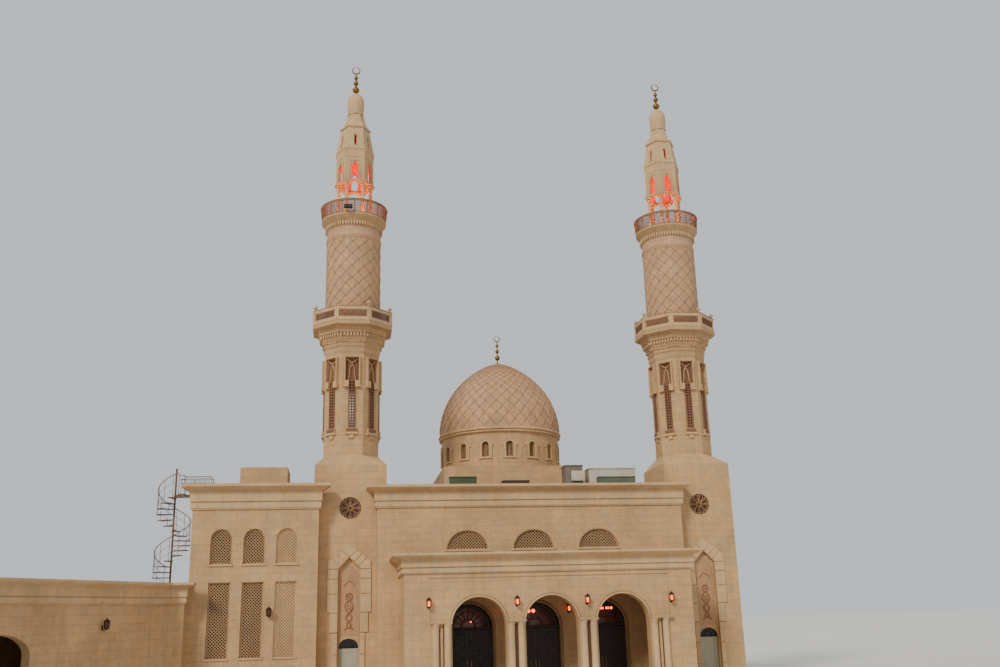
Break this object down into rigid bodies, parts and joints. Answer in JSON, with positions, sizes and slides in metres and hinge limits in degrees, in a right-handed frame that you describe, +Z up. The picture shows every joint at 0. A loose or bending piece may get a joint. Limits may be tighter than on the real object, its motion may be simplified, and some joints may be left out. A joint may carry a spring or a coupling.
{
  "type": "mosque building",
  "caption": "Mosque building with two tall minarets, a pointed dome on a windowed drum, an arched portico, a side wing and a low slanted annex with a spiral stair.",
  "frame": {"origin": "on the ground, below the crown of the dome", "axes": "+X to the right along the front, +Y into the building from the front, +Z up"},
  "size_m": [34.5641, 28.3374, 30.7693],
  "materials": {
    "cladding_stone": "honed sandstone cladding, matt",
    "carved_stone": "carved sandstone mouldings, matt",
    "net_stone": "rose-toned stone with raised diamond net, matt",
    "screed": "cement screed, matt",
    "lattice": "dark lattice screen",
    "fanlight_glass": "tinted glass",
    "gilt_metal": "weathered gilt metal",
    "painted_steel": "painted steel",
    "roof_unit_metal": "painted sheet metal",
    "door_wood": "dark stained wood"
  },
  "bodies": {
    "building": {"portico_arcade": "cladding_stone", "left_minaret_lantern": "cladding_stone", "right_minaret_lantern": "cladding_stone", "left_minaret_octagon_shaft": "cladding_stone", "right_minaret_octagon_shaft": "cladding_stone", "stair_rail": "painted_steel", "spiral_stair": "painted_steel", "dome_shell": "net_stone", "dome_drum": "cladding_stone", "left_minaret_upper_balcony": "carved_stone", "right_minaret_upper_balcony": "carved_stone", "rear_wall": "cladding_stone", "dome_finial": "gilt_metal", "left_minaret_finial": "gilt_metal", "right_minaret_finial": "gilt_metal", "annex_cornice": "carved_stone", "left_minaret_base": "cladding_stone", "right_minaret_base": "cladding_stone", "left_minaret_round_shaft": "net_stone", "right_minaret_round_shaft": "net_stone", "front_wall": "cladding_stone", "right_wall": "cladding_stone", "left_wall": "cladding_stone", "side_cornice": "carved_stone", "left_minaret_lower_balcony": "carved_stone", "right_minaret_lower_balcony": "carved_stone", "wing_front_wall": "cladding_stone", "ground_slab": "screed", "roof_slab": "screed", "front_cornice": "carved_stone", "portico_cornice": "carved_stone", "annex_walls": "cladding_stone", "dome_base": "cladding_stone", "roof_units": "roof_unit_metal", "roof_lights": "roof_unit_metal", "annex_roof": "screed", "front_pier_1": "cladding_stone", "front_pier_4": "cladding_stone", "stair_head": "cladding_stone", "front_pier_2": "cladding_stone", "front_pier_3": "cladding_stone", "fanlight_glass": "fanlight_glass", "lunette_screens": "lattice", "wing_inner_wall": "cladding_stone", "wing_window_screens": "lattice", "right_window_screens": "lattice", "left_window_screens": "lattice", "rear_window_screens": "lattice", "portico_left_wall": "cladding_stone", "portico_right_wall": "cladding_stone", "portico_roof": "screed"},
    "entrance_door_1_left": {"entrance_door_1_left": "door_wood"},
    "entrance_door_1_right": {"entrance_door_1_right": "door_wood"},
    "entrance_door_2_left": {"entrance_door_2_left": "door_wood"},
    "entrance_door_2_right": {"entrance_door_2_right": "door_wood"},
    "entrance_door_3_left": {"entrance_door_3_left": "door_wood"},
    "entrance_door_3_right": {"entrance_door_3_right": "door_wood"},
    "left_minaret_door": {"left_minaret_door": "door_wood"},
    "right_minaret_door": {"right_minaret_door": "door_wood"}
  },
  "joints": [
    {"name": "entrance_door_1_left_hinge", "type": "hinge", "parent": "building", "child": "entrance_door_1_left", "pos_m": [-3.933, -8.55, 1.5], "axis": [0, 0, 1], "range_deg": [0, 90]},
    {"name": "entrance_door_1_right_hinge", "type": "hinge", "parent": "building", "child": "entrance_door_1_right", "pos_m": [-1.937, -8.55, 1.5], "axis": [0, 0, -1], "range_deg": [0, 90]},
    {"name": "entrance_door_2_left_hinge", "type": "hinge", "parent": "building", "child": "entrance_door_2_left", "pos_m": [-0.998, -8.55, 1.5], "axis": [0, 0, 1], "range_deg": [0, 90]},
    {"name": "entrance_door_2_right_hinge", "type": "hinge", "parent": "building", "child": "entrance_door_2_right", "pos_m": [0.998, -8.55, 1.5], "axis": [0, 0, -1], "range_deg": [0, 90]},
    {"name": "entrance_door_3_left_hinge", "type": "hinge", "parent": "building", "child": "entrance_door_3_left", "pos_m": [1.937, -8.55, 1.5], "axis": [0, 0, 1], "range_deg": [0, 90]},
    {"name": "entrance_door_3_right_hinge", "type": "hinge", "parent": "building", "child": "entrance_door_3_right", "pos_m": [3.933, -8.55, 1.5], "axis": [0, 0, -1], "range_deg": [0, 90]},
    {"name": "left_minaret_door_hinge", "type": "hinge", "parent": "building", "child": "left_minaret_door", "pos_m": [-8.408, -7.773, 1.2], "axis": [0, 0, 1], "range_deg": [0, 90]},
    {"name": "right_minaret_door_hinge", "type": "hinge", "parent": "building", "child": "right_minaret_door", "pos_m": [7.592, -7.773, 1.2], "axis": [0, 0, 1], "range_deg": [0, 90]}
  ]
}
